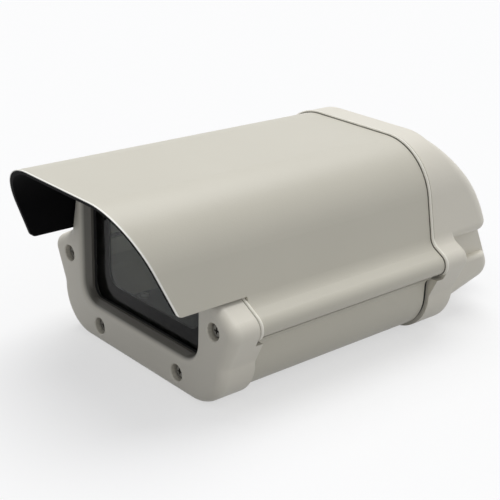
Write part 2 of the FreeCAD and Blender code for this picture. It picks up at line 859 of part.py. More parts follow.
def camera_clip():
    """Open clip round the neck of the camera screw that keeps it in its slot."""
    high = clip_low + camera_clip_thickness
    half = camera_neck_radius * 0.9
    disc = rod(camera_clip_radius, (0, 0, clip_low), (0, 0, high))
    mouth = block((0, -half, clip_low), (camera_clip_radius, half, high))
    return disc.cut([mouth, rod(camera_neck_radius + thread_play, (0, 0, clip_low), (0, 0, high))])


def closing_screw(place):
    """Socket-head captive screw of the cover."""
    x, y = place
    tip = ledge_top - closing_reach
    head_top = seat_z + closing_head_height
    head = rod(closing_head_radius, (x, y, seat_z), (x, y, head_top))
    head = soften(head, 0.6, lambda box: box.ZMin > head_top - 0.01)
    shank = rod(m4_radius, (x, y, tip + 1.0), (x, y, seat_z))
    point = cone(1.3, m4_radius, (x, y, tip), (x, y, tip + 1.0))
    screw = head.fuse([shank, point]).cut(hexagon(closing_hex, (x, y, head_top - 2.0), (x, y, head_top)))
    low = lip_low + ring_groove
    groove = rod(m4_radius, (x, y, low), (x, y, low + ring_thickness))
    core = rod(m4_radius - ring_groove, (x, y, low), (x, y, low + ring_thickness))
    return screw.cut(groove.cut(core)).removeSplitter()


def retaining_ring(place):
    """Ring in the groove of a closing screw that keeps it in the cover."""
    x, y = place
    low = lip_low + ring_groove
    ring = rod(ring_radius, (x, y, low), (x, y, low + ring_thickness))
    ring = ring.cut(rod(m4_radius - ring_groove + 0.02, (x, y, low), (x, y, low + ring_thickness)))
    mouth = block((x, y - 1.2, low), (x + ring_radius, y + 1.2, low + ring_thickness))
    return ring.cut(mouth)


def gland_body(x):
    """Gland body: thread through the wall, six-sided collar and a neck for the cap nut."""
    start = lock_seat - lock_nut_height
    wall_side = rod(gland_thread_radius, (x, start, gland_z), (x, gland_seat, gland_z))
    collar_end = gland_seat + gland_collar
    collar = hexagon(gland_hex, (x, gland_seat, gland_z), (x, collar_end, gland_z))
    neck = rod(gland_thread_radius, (x, collar_end, gland_z), (x, collar_end + gland_neck_length, gland_z))
    bore = rod(gland_bore, (x, 0, gland_z), (x, far, gland_z))
    return wall_side.fuse([collar, neck]).cut(bore).removeSplitter()


def gland_nut(x):
    """Cap nut of a gland: six-sided skirt and a dome with the cable hole."""
    start = gland_seat + gland_collar + 0.5
    skirt_end = start + gland_nut_length * 0.6
    end = start + gland_nut_length
    flange = cable_radius + 1.5
    nut = hexagon(gland_hex, (x, start, gland_z), (x, skirt_end, gland_z))
    nut = nut.common(rod(gland_hex * 0.555, (x, start, gland_z), (x, skirt_end, gland_z)))
    dome = cone(gland_hex / 2 - 0.4, flange + 1.5, (x, skirt_end, gland_z), (x, end, gland_z))
    nut = nut.fuse(dome)
    thread_end = gland_seat + gland_collar + gland_neck_length + 0.3
    room = rod(gland_thread_radius + gland_clearance, (x, start, gland_z), (x, thread_end, gland_z))
    throat = cone(gland_bore, flange, (x, thread_end, gland_z), (x, end - 1.0, gland_z))
    return nut.cut([room, throat, rod(flange, (x, start, gland_z), (x, end, gland_z))]).removeSplitter()


def gland_seal(x):
    """Rubber bush that the cap nut squeezes on the cable."""
    start = gland_seat + gland_collar
    end = start + gland_neck_length
    bush = rod(gland_bore - 0.1, (x, start, gland_z), (x, end, gland_z))
    return bush.cut(rod(cable_radius, (x, start, gland_z), (x, end, gland_z)))


def gland_lock_nut(x):
    """Flat nut inside the rear wall."""
    start = lock_seat - lock_nut_height
    nut = hexagon(gland_hex, (x, start, gland_z), (x, lock_seat, gland_z))
    hole = rod(gland_thread_radius + gland_clearance, (x, start, gland_z), (x, lock_seat, gland_z))
    return nut.cut(hole)


def earth_screw():
    """Earth screw on the floor pad."""
    screw = small_screw(m4_radius, m4_head_radius, m4_head_height, 5.5)
    return placed(screw, (0, earth_y, pad_thickness))


def pieces():
    """Every separate piece by name."""
    band, hood = band_and_hood()
    made = {
        "top_cover": top_cover(),
        "lower_tray": lower_tray(),
        "front_cap": front_cap(),
        "rear_cap": band,
        "rear_hood": hood,
        "front_gasket": end_gasket_ring(-1),
        "rear_gasket": end_gasket_ring(1),
        "hinge_side_seal": seal_strip(1, 0.05),
        "closing_side_seal": seal_strip(-1, 0.05),
        "window_gasket": window_gasket(),
        "window_glass": window_glass(),
        "glass_retainer": glass_retainer(),
        "retainer_screws": retainer_screws(),
        "front_cap_screws": cap_screws(-1),
        "rear_cap_screws": cap_screws(1),
        "camera_plate": camera_plate(),
        "plate_screws": plate_screws(),
        "camera_screw": camera_screw(),
        "camera_screw_clip": camera_clip(),
        "earth_screw": earth_screw(),
    }
    for name, place in zip(("front", "rear"), closing_places()):
        made["closing_screw_" + name] = closing_screw(place)
        made["retaining_ring_" + name] = retaining_ring(place)
    for name, x in zip(("left", "middle", "right"), gland_places()):
        made["gland_body_" + name] = gland_body(x)
        made["gland_nut_" + name] = gland_nut(x)
        made["gland_seal_" + name] = gland_seal(x)
        made["gland_lock_nut_" + name] = gland_lock_nut(x)
    return made


os.makedirs("parts", exist_ok=True)
for name, shape in pieces().items():
    shape.exportStep("parts/" + name + ".step")
    print(name, len(shape.Solids), shape.isValid(), round(shape.Volume / 1000, 2), "cm3")
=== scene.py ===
# %% [markdown]
# A camera housing for outdoors: a domed cover that hinges along one edge of a tray, a cast cap at
# each end, and a sealed window under a visor. The construction model brings every piece at its
# true place. This lesson gives the pieces their finishes and adds the small repeated shapes.

# %% Load the construction model
import json
import math

import bmesh
import bpy
from mathutils import Matrix, Vector


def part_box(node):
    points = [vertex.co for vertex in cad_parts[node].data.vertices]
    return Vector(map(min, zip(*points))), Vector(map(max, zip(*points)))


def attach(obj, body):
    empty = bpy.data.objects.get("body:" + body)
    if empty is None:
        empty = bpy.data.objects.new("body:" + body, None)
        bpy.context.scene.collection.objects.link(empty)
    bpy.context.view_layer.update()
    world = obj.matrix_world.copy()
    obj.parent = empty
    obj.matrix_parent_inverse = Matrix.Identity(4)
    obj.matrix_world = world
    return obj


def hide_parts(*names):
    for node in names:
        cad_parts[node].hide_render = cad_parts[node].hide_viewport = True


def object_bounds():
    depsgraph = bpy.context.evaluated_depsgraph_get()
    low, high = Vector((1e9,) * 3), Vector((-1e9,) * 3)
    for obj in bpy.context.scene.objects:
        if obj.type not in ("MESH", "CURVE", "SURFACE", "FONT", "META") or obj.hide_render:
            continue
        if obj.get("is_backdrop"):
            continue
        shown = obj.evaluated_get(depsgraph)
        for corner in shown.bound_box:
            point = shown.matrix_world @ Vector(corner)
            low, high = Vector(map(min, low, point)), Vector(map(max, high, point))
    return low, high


MM = 0.001

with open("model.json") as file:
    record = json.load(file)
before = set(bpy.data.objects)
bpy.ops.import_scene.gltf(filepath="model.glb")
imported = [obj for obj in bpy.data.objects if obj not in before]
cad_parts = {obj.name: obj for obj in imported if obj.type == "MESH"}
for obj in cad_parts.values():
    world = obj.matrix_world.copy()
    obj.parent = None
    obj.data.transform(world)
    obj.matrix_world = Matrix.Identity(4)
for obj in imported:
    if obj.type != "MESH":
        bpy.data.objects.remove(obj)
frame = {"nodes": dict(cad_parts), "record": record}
cad_low, cad_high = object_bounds()
nodes = frame["nodes"]
print("pieces", len(nodes), "size", [round(v, 4) for v in cad_high - cad_low])

# %% [markdown]
# Every material below is a small network of nodes. Writing the links by hand is long, so a few
# helpers make a material, add a node with its values and do arithmetic on values.

# %% Helpers for materials
def new_material(name):
    """A material with its node tree and its shader."""
    made = bpy.data.materials.new(name)
    made.use_nodes = True
    return made, made.node_tree, made.node_tree.nodes["Principled BSDF"]


def feed(tree, socket, value):
    """Set a socket to a constant or link another socket to it."""
    if isinstance(value, bpy.types.NodeSocket):
        tree.links.new(value, socket)
    else:
        socket.default_value = value


def add(tree, kind, **values):
    """Add a node; values are inputs by name with spaces as underscores."""
    node = tree.nodes.new(kind)
    for name, value in values.items():
        feed(tree, node.inputs[name.replace("_", " ")], value)
    return node


def calc(tree, operation, *values):
    """Arithmetic on values, returned as a socket."""
    node = tree.nodes.new("ShaderNodeMath")
    node.operation = operation
    for socket, value in zip(node.inputs, values):
        feed(tree, socket, value)
    return node.outputs[0]


def ramp(tree, value, start, end, first, second):
    """Value that goes from first to second while another goes from start to end."""
    node = add(tree, "ShaderNodeMapRange", Value=value)
    for socket, number in zip(node.inputs[1:5], (start, end, first, second)):
        feed(tree, socket, number)
    return node.outputs[0]


def blend_colours(tree, mask, first, second):
    """Colour that goes from first to second with the mask."""
    node = tree.nodes.new("ShaderNodeMix")
    node.data_type = "RGBA"
    feed(tree, node.inputs[0], mask)
    feed(tree, node.inputs[6], first)
    feed(tree, node.inputs[7], second)
    return node.outputs[2]


def new_group(name, inputs, outputs):
    """A shader node group with named sockets; returns its tree, its entry and its exit."""
    group = bpy.data.node_groups.new(name, "ShaderNodeTree")
    for title, kind, value in inputs:
        socket = group.interface.new_socket(title, in_out="INPUT", socket_type=kind)
        if value is not None:
            socket.default_value = value
    for title, kind in outputs:
        group.interface.new_socket(title, in_out="OUTPUT", socket_type=kind)
    return group, group.nodes.new("NodeGroupInput"), group.nodes.new("NodeGroupOutput")


def use_group(tree, group, **values):
    """Place a group in a material with its own values."""
    node = tree.nodes.new("ShaderNodeGroup")
    node.node_tree = group
    for name, value in values.items():
        feed(tree, node.inputs[name.replace("_", " ")], value)
    return node

# %% [markdown]
# Powder coat is sprayed as dry powder and melted in an oven. It flows into a skin with a very fine
# orange peel, and its tone drifts a little over a large face. Both come from noise in the piece's
# own coordinates, so they stay in place when a piece moves. One group serves paint, rubber and
# moulded plastic, each with its own sizes.

# %% Shared group: fine skin
skin, skin_in, skin_out = new_group(
    "fine skin",
    [("Position", "NodeSocketVector", None), ("Peel Size", "NodeSocketFloat", 0.0008),
     ("Drift Size", "NodeSocketFloat", 0.05)],
    [("Height", "NodeSocketFloat"), ("Drift", "NodeSocketFloat"), ("Speck", "NodeSocketFloat")])
peel_scale = calc(skin, "DIVIDE", 1.0, skin_in.outputs["Peel Size"])
peel = add(skin, "ShaderNodeTexNoise", Vector=skin_in.outputs["Position"], Scale=peel_scale, Detail=2.0)
drift_scale = calc(skin, "DIVIDE", 1.0, skin_in.outputs["Drift Size"])
drift = add(skin, "ShaderNodeTexNoise", Vector=skin_in.outputs["Position"], Scale=drift_scale, Detail=3.0)
speck = calc(skin, "MULTIPLY_ADD", peel.outputs[0], 2.0, -0.5)
skin.links.new(peel.outputs[0], skin_out.inputs["Height"])
skin.links.new(drift.outputs[0], skin_out.inputs["Drift"])
skin.links.new(speck, skin_out.inputs["Speck"])
print("group", skin.name)

# %% [markdown]
# Corners and seams get painted shade, where less light reaches them. A mask from the depth of the
# corners, found by ambient occlusion and broken up by noise, paints this shade into the colour.

# %% Shared group: painted shade in corners
PATCHES_PER_METRE = 160.0

painted_shade, painted_shade_in, painted_shade_out = new_group(
    "corner dust",
    [("Position", "NodeSocketVector", None), ("Reach", "NodeSocketFloat", 0.004),
     ("Amount", "NodeSocketFloat", 0.3)],
    [("Mask", "NodeSocketFloat")])
corner = add(painted_shade, "ShaderNodeAmbientOcclusion", Distance=painted_shade_in.outputs["Reach"])
corner.samples = 4
patches = add(painted_shade, "ShaderNodeTexNoise", Vector=painted_shade_in.outputs["Position"], Scale=PATCHES_PER_METRE, Detail=4.0)
depth = calc(painted_shade, "SUBTRACT", 1.0, corner.outputs["AO"])
patchy = calc(painted_shade, "MULTIPLY", depth, patches.outputs[0])
painted_shade_mask = calc(painted_shade, "MULTIPLY", patchy, painted_shade_in.outputs["Amount"])
painted_shade.links.new(painted_shade_mask, painted_shade_out.inputs["Mask"])
print("group", painted_shade.name)

# %% [markdown]
# The housing is a warm light grey. The cast caps get a paler tone than the drawn profiles, so there
# are two tones. The helper makes a coated metal with that skin, and the same helper makes the dark
# coats of the pieces inside.

# %% Coated metal
PROFILE_GREY = (0.640, 0.612, 0.520, 1.0)
PROFILE_DEEP = (0.595, 0.568, 0.480, 1.0)
CAST_GREY = (0.780, 0.745, 0.650, 1.0)
CAST_DEEP = (0.735, 0.700, 0.605, 1.0)
# colour of the painted shade in corners and seams
PAINTED_SHADE_TONE = (0.33, 0.31, 0.26, 1.0)
SATIN = 0.42
PAINT_PEEL = (0.9 * MM, 0.08 * MM)


def coat(name, colour, deep_colour, roughness, peel):
    """Powder-coated metal; peel is the size and height of the orange peel.

    Returns the material, its tree and its shader, and the place and tone that later cells use.
    """
    made, tree, shader = new_material(name)
    place = tree.nodes.new("ShaderNodeTexCoord").outputs["Object"]
    fine = use_group(tree, skin, Position=place, Peel_Size=peel[0], Drift_Size=60 * MM)
    # painted shade in corners and seams, from ambient occlusion
    corner_shade = use_group(tree, painted_shade, Position=place, Reach=4 * MM, Amount=0.25)
    tone = blend_colours(tree, fine.outputs["Drift"], colour, deep_colour)
    tone = blend_colours(tree, corner_shade.outputs["Mask"], tone, PAINTED_SHADE_TONE)
    rough = calc(tree, "MULTIPLY_ADD", fine.outputs["Drift"], 0.10, roughness - 0.05)
    bump = add(tree, "ShaderNodeBump", Height=fine.outputs["Height"], Strength=0.35, Distance=peel[1])
    feed(tree, shader.inputs["Base Color"], tone)
    feed(tree, shader.inputs["Roughness"], rough)
    feed(tree, shader.inputs["Normal"], bump.outputs[0])
    return made, tree, shader, place, tone


profile_coat = coat("warm grey powder coat", PROFILE_GREY, PROFILE_DEEP, SATIN, PAINT_PEEL)[0]
cast_coat = coat("rear cap powder coat", CAST_GREY, CAST_DEEP, SATIN, PAINT_PEEL)[0]
retainer_coat = coat("matt black coat", (0.018, 0.018, 0.018, 1), (0.012, 0.012, 0.012, 1), 0.6,
                     (0.6 * MM, 0.01 * MM))[0]
plate_coat = coat("dark grey coat", (0.075, 0.080, 0.076, 1), (0.06, 0.064, 0.06, 1), 0.55,
                  (0.8 * MM, 0.02 * MM))[0]
print("coats", profile_coat.name, cast_coat.name, retainer_coat.name, plate_coat.name)

# %% [markdown]
# The wall of the window mouth is painted darker than the face of the front cap: painted shade for
# the shade that the visor casts on it. A mask in the cap's own coat picks the points inside the mouth
# that lie behind the cap's face, and darkens them towards the glass.

# %% Front cap coat with painted shade on the mouth wall
# colour of the painted shade that the visor casts on the mouth wall
MOUTH_SHADE_TONE = (0.20, 0.19, 0.165, 1.0)
MOUTH_MARGIN = 1.5 * MM
MOUTH_EDGE, MOUTH_DARK = -83.8 * MM, -82.2 * MM

mouth_coat, tree, shader, place, tone = coat("front cap powder coat", CAST_GREY, CAST_DEEP, SATIN, PAINT_PEEL)
spot = add(tree, "ShaderNodeSeparateXYZ", Vector=place)
glass_low, glass_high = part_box("window_glass")
middle_z = (glass_low.z + glass_high.z) / 2
half_height = (glass_high.z - glass_low.z) / 2
off_side = calc(tree, "ABSOLUTE", spot.outputs["X"])
off_middle = calc(tree, "ABSOLUTE", calc(tree, "SUBTRACT", spot.outputs["Z"], middle_z))
beside = calc(tree, "LESS_THAN", off_side, glass_high.x + MOUTH_MARGIN)
between = calc(tree, "LESS_THAN", off_middle, half_height + MOUTH_MARGIN)
deep_in = ramp(tree, spot.outputs["Y"], MOUTH_EDGE, MOUTH_DARK, 0.0, 1.0)
shaded = calc(tree, "MULTIPLY", calc(tree, "MULTIPLY", beside, between), deep_in)
# painted shade on the mouth wall, deepening towards the glass
feed(tree, shader.inputs["Base Color"], blend_colours(tree, shaded, tone, MOUTH_SHADE_TONE))
print("mouth wall darkens over", round((MOUTH_DARK - MOUTH_EDGE) / MM, 2), "mm")

# %% [markdown]
# The inside of the visor is sprayed matt black, so that it throws no light on the window. It is the
# same piece as the cover, so the black is a mask in the cover's own coat. The mask measures how
# deep a point lies under the dome's outer surface: the dome is a flat roof, two leaning sides and
# two round shoulders, and the inner surface is one wall thickness below all of them. Along the
# visor's raked cut the outer corner gets a painted highlight, where its rounded edge catches the light.

# %% Cover coat with a black visor lining and a painted edge highlight
DOME_TOP = 105 * MM
SHOULDER = 34 * MM
DOME_FOOT_X, DOME_FOOT_Z = 64.7 * MM, 55.8 * MM
SIDE_LEAN = math.radians(11.5)
VISOR_REACH = 22.3 * MM
VISOR_RAKE = math.radians(24.2)
LINING_BLACK = (0.002, 0.002, 0.0025, 1.0)
# colour of the painted highlight along the visor's cut
EDGE_HIGHLIGHT_TONE = (0.97, 0.95, 0.88, 1.0)

side_reach = DOME_FOOT_X * math.cos(SIDE_LEAN) + DOME_FOOT_Z * math.sin(SIDE_LEAN)
shoulder_z = DOME_TOP - SHOULDER
shoulder_x = (side_reach - SHOULDER - shoulder_z * math.sin(SIDE_LEAN)) / math.cos(SIDE_LEAN)
front_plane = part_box("front_gasket")[0].y
tip_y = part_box("front_cap")[0].y - VISOR_REACH

cover_coat, tree, shader, place, tone = coat("cover powder coat", PROFILE_GREY, PROFILE_DEEP, SATIN, PAINT_PEEL)
axes = add(tree, "ShaderNodeSeparateXYZ", Vector=place)
from_side = calc(tree, "ABSOLUTE", axes.outputs["X"])
height = axes.outputs["Z"]
off_x = calc(tree, "SUBTRACT", from_side, shoulder_x)
off_z = calc(tree, "SUBTRACT", height, shoulder_z)
above_top = calc(tree, "SUBTRACT", off_z, SHOULDER)
lean_x = calc(tree, "MULTIPLY", off_x, math.cos(SIDE_LEAN))
outward = calc(tree, "MULTIPLY_ADD", off_z, math.sin(SIDE_LEAN), lean_x)
above_side = calc(tree, "SUBTRACT", outward, SHOULDER)
squares = calc(tree, "MULTIPLY_ADD", off_x, off_x, calc(tree, "MULTIPLY", off_z, off_z))
above_round = calc(tree, "SUBTRACT", calc(tree, "SQRT", squares), SHOULDER)
drop_x = calc(tree, "MULTIPLY", off_x, -math.sin(SIDE_LEAN))
upward = calc(tree, "MULTIPLY_ADD", off_z, math.cos(SIDE_LEAN), drop_x)
past_x = calc(tree, "GREATER_THAN", off_x, 0.0)
past_z = calc(tree, "GREATER_THAN", upward, 0.0)
in_wedge = calc(tree, "MULTIPLY", past_x, past_z)
flat_depth = calc(tree, "MAXIMUM", above_top, above_side)
round_share = calc(tree, "MULTIPLY", calc(tree, "SUBTRACT", above_round, flat_depth), in_wedge)
surface_depth = calc(tree, "ADD", flat_depth, round_share)
inner = calc(tree, "LESS_THAN", surface_depth, -0.4 * MM)
ahead = calc(tree, "LESS_THAN", axes.outputs["Y"], front_plane)
lining = calc(tree, "MULTIPLY", inner, ahead)
lined = blend_colours(tree, lining, tone, LINING_BLACK)
from_tip_y = calc(tree, "SUBTRACT", axes.outputs["Y"], tip_y)
from_tip_z = calc(tree, "SUBTRACT", height, DOME_FOOT_Z)
behind_y = calc(tree, "MULTIPLY", from_tip_y, math.cos(VISOR_RAKE))
behind_cut = calc(tree, "MULTIPLY_ADD", from_tip_z, math.sin(VISOR_RAKE), behind_y)
# painted highlight on the rounded outer corner of the cut
near_cut = calc(tree, "LESS_THAN", behind_cut, 0.9 * MM)
at_edge = calc(tree, "MULTIPLY", near_cut, calc(tree, "SUBTRACT", 1.0, inner))
lined = blend_colours(tree, at_edge, lined, EDGE_HIGHLIGHT_TONE)
feed(tree, shader.inputs["Base Color"], lined)
feed(tree, shader.inputs["Specular IOR Level"], calc(tree, "MULTIPLY_ADD", lining, -0.4, 0.5))
feed(tree, shader.inputs["Roughness"], calc(tree, "MULTIPLY_ADD", lining, 0.35, SATIN))
print("lining starts ahead of", round(front_plane, 4))
print("shoulder centre", round(shoulder_x, 4), round(shoulder_z, 4))

# %% [markdown]
# Rubber is dull, and its colour is even. Cream silicone for the end gaskets and black rubber for
# the hidden seals differ only in their colours and their painted shade, so one helper makes both.
# Below the step in their seam the end gaskets get black painted shade, where they lie deep between
# tray and cap, and the cream silicone gets strong painted shade in its narrow gaps.

# %% Rubber
SEAM_STEP = 36.1 * MM
# painted shade in narrow gaps, from ambient occlusion
SHADE_BLACK = (0.02, 0.02, 0.02, 1)
# black painted shade of the deep seam below the step
SEAM_SHADE_BLACK = (0.008, 0.008, 0.008, 1)


def rubber(name, colour, deep_colour, shade_amount=0.0, shade_below=-1.0):
    """Dull rubber with a fine skin, with painted shade where it lies deep in a seam and black painted shade below a
    height.
    """
    made, tree, shader = new_material(name)
    place = tree.nodes.new("ShaderNodeTexCoord").outputs["Object"]
    fine = use_group(tree, skin, Position=place, Peel_Size=0.4 * MM, Drift_Size=20 * MM)
    corner_shade = use_group(tree, painted_shade, Position=place, Reach=2 * MM, Amount=shade_amount)
    bump = add(tree, "ShaderNodeBump", Height=fine.outputs["Height"], Strength=0.25, Distance=0.05 * MM)
    tone = blend_colours(tree, fine.outputs["Drift"], colour, deep_colour)
    tone = blend_colours(tree, calc(tree, "MINIMUM", corner_shade.outputs["Mask"], 1.0), tone, SHADE_BLACK)
    height = add(tree, "ShaderNodeSeparateXYZ", Vector=place).outputs["Z"]
    tone = blend_colours(tree, calc(tree, "LESS_THAN", height, shade_below), tone, SEAM_SHADE_BLACK)
    feed(tree, shader.inputs["Base Color"], tone)
    feed(tree, shader.inputs["Roughness"], calc(tree, "MULTIPLY_ADD", fine.outputs["Speck"], 0.1, 0.62))
    feed(tree, shader.inputs["Normal"], bump.outputs[0])
    return made


# the cream silicone gets strong painted shade in its narrow gaps and black painted shade below the seam step
pale_rubber = rubber("cream silicone", (0.86, 0.82, 0.71, 1), (0.80, 0.76, 0.64, 1), 4.0, SEAM_STEP)
# the gaskets' own cream silicone, made paler on the bead as painted light where its round top catches the lamp
bead_rubber_painted_lit = rubber("cream bead", (0.97, 0.94, 0.85, 1), (0.95, 0.91, 0.80, 1))
black_rubber = rubber("black rubber", (0.016, 0.016, 0.016, 1), (0.024, 0.024, 0.023, 1))
print("rubbers", pale_rubber.name, bead_rubber_painted_lit.name, black_rubber.name)

# %% [markdown]
# Glands are moulded in black nylon. The mould leaves a satin skin, a little rougher than paint.

# %% Moulded nylon
nylon, tree, shader = new_material("black nylon")
place = tree.nodes.new("ShaderNodeTexCoord").outputs["Object"]
fine = use_group(tree, skin, Position=place, Peel_Size=0.5 * MM, Drift_Size=15 * MM)
bump = add(tree, "ShaderNodeBump", Height=fine.outputs["Height"], Strength=0.4, Distance=0.06 * MM)
nylon_tone = blend_colours(tree, fine.outputs["Drift"], (0.022, 0.022, 0.023, 1), (0.036, 0.036, 0.037, 1))
feed(tree, shader.inputs["Base Color"], nylon_tone)
feed(tree, shader.inputs["Roughness"], calc(tree, "MULTIPLY_ADD", fine.outputs["Speck"], 0.15, 0.38))
feed(tree, shader.inputs["Normal"], bump.outputs[0])

# %% [markdown]
# The window is clear glass with a faint green tint. Camera windows are coated against reflections,
# which a low refractive index stands for. Its shader keeps plain values, and only faint smears
# change its roughness.

# %% Window glass
glass, tree, shader = new_material("window glass")
place = tree.nodes.new("ShaderNodeTexCoord").outputs["Object"]
smear = add(tree, "ShaderNodeTexNoise", Vector=place, Scale=40.0, Detail=3.0)
feed(tree, shader.inputs["Base Color"], (0.80, 0.84, 0.82, 1))
feed(tree, shader.inputs["Transmission Weight"], 1.0)
feed(tree, shader.inputs["IOR"], 1.22)
smear_rough = calc(tree, "MAXIMUM", calc(tree, "MULTIPLY_ADD", smear.outputs[0], 0.06, -0.03), 0.0)
feed(tree, shader.inputs["Roughness"], smear_rough)

# %% [markdown]
# Screws and clips are turned metal. The tool leaves faint marks, which show as noise that is
# stretched along one axis. Stainless steel, blackened steel and brass differ mostly in colour.

# %% Turned metal
def turned_metal(name, colour, deep_colour, roughness):
    """Machined metal with fine marks."""
    made, tree, shader = new_material(name)
    place = tree.nodes.new("ShaderNodeTexCoord").outputs["Object"]
    stretched = add(tree, "ShaderNodeMapping", Vector=place, Scale=(900.0, 3500.0, 3500.0))
    marks = add(tree, "ShaderNodeTexNoise", Vector=stretched.outputs[0], Scale=1.0, Detail=2.0)
    bump = add(tree, "ShaderNodeBump", Height=marks.outputs[0], Strength=0.3, Distance=0.03 * MM)
    feed(tree, shader.inputs["Base Color"], blend_colours(tree, marks.outputs[0], colour, deep_colour))
    feed(tree, shader.inputs["Metallic"], 1.0)
    feed(tree, shader.inputs["Roughness"], calc(tree, "MULTIPLY_ADD", marks.outputs[0], 0.18, roughness))
    feed(tree, shader.inputs["Normal"], bump.outputs[0])
    return made


steel = turned_metal("stainless steel", (0.60, 0.59, 0.57, 1), (0.44, 0.43, 0.41, 1), 0.26)
dark_steel = turned_metal("blackened steel", (0.20, 0.195, 0.18, 1), (0.12, 0.115, 0.10, 1), 0.34)
brass = turned_metal("brass", (0.80, 0.62, 0.30, 1), (0.62, 0.46, 0.20, 1), 0.26)

# %% [markdown]
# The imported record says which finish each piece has. A dictionary from its slot names to the
# materials dresses all construction pieces in one loop; the cover and the cast caps have their own.

# %% Dress the construction pieces
finishes = {
    "housing_paint": profile_coat, "black_paint": retainer_coat, "plate_paint": plate_coat,
    "pale_rubber": pale_rubber, "black_rubber": black_rubber, "clear_glass": glass,
    "screw_steel": steel, "brass_screw": brass, "gland_plastic": nylon,
}
own = {"top_cover": cover_coat, "front_cap": mouth_coat, "rear_cap": cast_coat, "rear_hood": cast_coat}
slots = {part["node"]: part["material_slot"] for part in frame["record"]["subparts"]}
for name, piece in nodes.items():
    piece.data.materials.clear()
    piece.data.materials.append(own.get(name, finishes[slots[name]]))
print("dressed", len(slots), "pieces in", len(set(finishes.values()) | set(own.values())), "finishes")

# %% [markdown]
# Small shapes that repeat are grown by Geometry Nodes: a tree takes sizes by name, and the result
# is kept as a plain mesh. These helpers make a tree, set its inputs and keep what it grows.

# %% Helpers for grown shapes
def new_shape_tree(title, inputs):
    """Geometry tree with named inputs; returns the tree, its entry and its exit."""
    tree = bpy.data.node_groups.new(title, "GeometryNodeTree")
    tree.interface.new_socket("Geometry", in_out="INPUT", socket_type="NodeSocketGeometry")
    for name, kind in inputs:
        tree.interface.new_socket(name, in_out="INPUT", socket_type=kind)
    tree.interface.new_socket("Geometry", in_out="OUTPUT", socket_type="NodeSocketGeometry")
    return tree, tree.nodes.new("NodeGroupInput"), tree.nodes.new("NodeGroupOutput")


def vector_math(tree, operation, *values):
    """Arithmetic on vectors in a shape tree."""
    node = tree.nodes.new("ShaderNodeVectorMath")
    node.operation = operation
    for socket, value in zip(node.inputs, values):
        feed(tree, socket, value)
    return node.outputs[0]


def join(tree, *parts):
    """Join geometry sockets."""
    node = tree.nodes.new("GeometryNodeJoinGeometry")
    for part in parts:
        tree.links.new(part, node.inputs[0])
    return node.outputs[0]


def end_tree(tree, shape, entry, exit_node):
    """Every tree ends the same way: real geometry, then its material."""
    real = add(tree, "GeometryNodeRealizeInstances", Geometry=shape)
    painted = add(tree, "GeometryNodeSetMaterial", Geometry=real.outputs[0], Material=entry.outputs["Material"])
    tree.links.new(painted.outputs[0], exit_node.inputs[0])


def grow(tree, name, start, **values):
    """Run a tree on a start mesh and keep the result as a plain mesh object at the origin."""
    seed = bpy.data.objects.new(name + "_start", start)
    modifier = seed.modifiers.new("shape", "NODES")
    modifier.node_group = tree
    for item in tree.interface.items_tree:
        title = item.name.replace(" ", "_")
        if item.in_out == "INPUT" and title in values:
            modifier[item.identifier] = values[title]
    bpy.context.scene.collection.objects.link(seed)
    grown = bpy.data.meshes.new_from_object(seed.evaluated_get(bpy.context.evaluated_depsgraph_get()))
    bpy.data.objects.remove(seed)
    made = bpy.data.objects.new(name, grown)
    bpy.context.scene.collection.objects.link(made)
    print(name, len(grown.polygons), "faces")
    return made


def in_scene(name, mesh):
    """A new object in the scene, which a shape tree can then read."""
    made = bpy.data.objects.new(name, mesh)
    bpy.context.scene.collection.objects.link(made)
    return made


def stands_for(piece, node, body):
    """Let a finished piece take the place of a construction piece."""
    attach(piece, body)
    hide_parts(node)

# %% [markdown]
# A screw is a head, a core and a thread. The thread is a spiral swept with a small triangle, so
# its pitch is a true size. The head is turned from a profile and its cross recess is cut with two
# crossed wedges. The tree then puts one screw on each point of a mesh that holds only the places.

# %% Screw heads
def turned(profile, steps=48):
    """Closed mesh turned from (radius, height) points about the Z axis, from top to bottom."""
    mesh = bmesh.new()
    rings = []
    for radius, height in profile:
        count = steps if radius > 1e-6 else 1
        angles = [2 * math.pi * i / steps for i in range(count)]
        rings.append([mesh.verts.new((radius * math.cos(a), radius * math.sin(a), height)) for a in angles])
    for upper, lower in zip(rings, rings[1:]):
        for i in range(steps):
            corners = [upper[i % len(upper)], lower[i % len(lower)],
                       lower[(i + 1) % len(lower)], upper[(i + 1) % len(upper)]]
            mesh.faces.new(list(dict.fromkeys(corners)))
    return mesh


def as_object(mesh, name):
    """Put a built mesh in an object that isn't linked to the scene yet."""
    data = bpy.data.meshes.new(name)
    mesh.to_mesh(data)
    mesh.free()
    return bpy.data.objects.new(name, data)


def cross_cutter(reach, width, depth, top):
    """Two crossed wedges that narrow downwards, for a cross recess."""
    mesh = bmesh.new()
    for turn in (0.0, math.pi / 2):
        made = bmesh.ops.create_cube(mesh, size=1.0)["verts"]
        for corner in made:
            low = corner.co.z < 0
            narrow = 0.45 if low else 1.0
            corner.co = Vector((corner.co.x * 2 * reach * narrow, corner.co.y * width * (0.7 if low else 1.0),
                                top - depth if low else top + depth))
            corner.co.rotate(Matrix.Rotation(turn, 3, "Z"))
    return as_object(mesh, "cutter")


